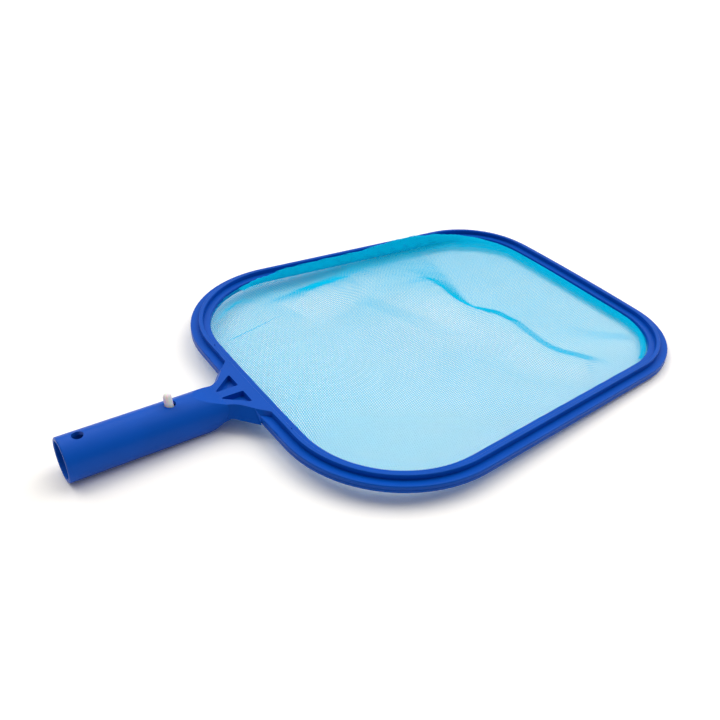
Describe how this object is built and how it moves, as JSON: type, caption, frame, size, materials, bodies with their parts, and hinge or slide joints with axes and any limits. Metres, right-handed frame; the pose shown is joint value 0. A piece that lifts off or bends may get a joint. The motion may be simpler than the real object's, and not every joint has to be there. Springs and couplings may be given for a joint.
{
  "type": "leaf skimmer net",
  "caption": "Flat leaf skimmer for a pool: a moulded frame clamps a fine net, and its hollow handle locks in a telescopic pole with a sprung clip.",
  "frame": {"origin": "centre of the handle's open end, on the handle's axis", "axes": "+X along the handle to the net, +Y across the net, +Z out of the side the leaves lie on"},
  "size_m": [0.4243, 0.2798, 0.0364],
  "materials": {
    "blue_plastic": "satin",
    "net_yarn": "woven",
    "white_plastic": "satin"
  },
  "bodies": {
    "handle": {"frame": "blue_plastic", "clamp_ring": "blue_plastic", "net": "net_yarn", "clip_base": "white_plastic"},
    "button_arm": {"clip_arm": "white_plastic"}
  },
  "joints": [
    {"name": "press_button", "type": "hinge", "parent": "handle", "child": "button_arm", "pos_m": [0.0222, 0, 0.0085], "axis": [0, 1, 0], "range_deg": [0, 11.4], "stiffness_Nm_per_rad": 4.4, "springref_deg": -5.73}
  ]
}
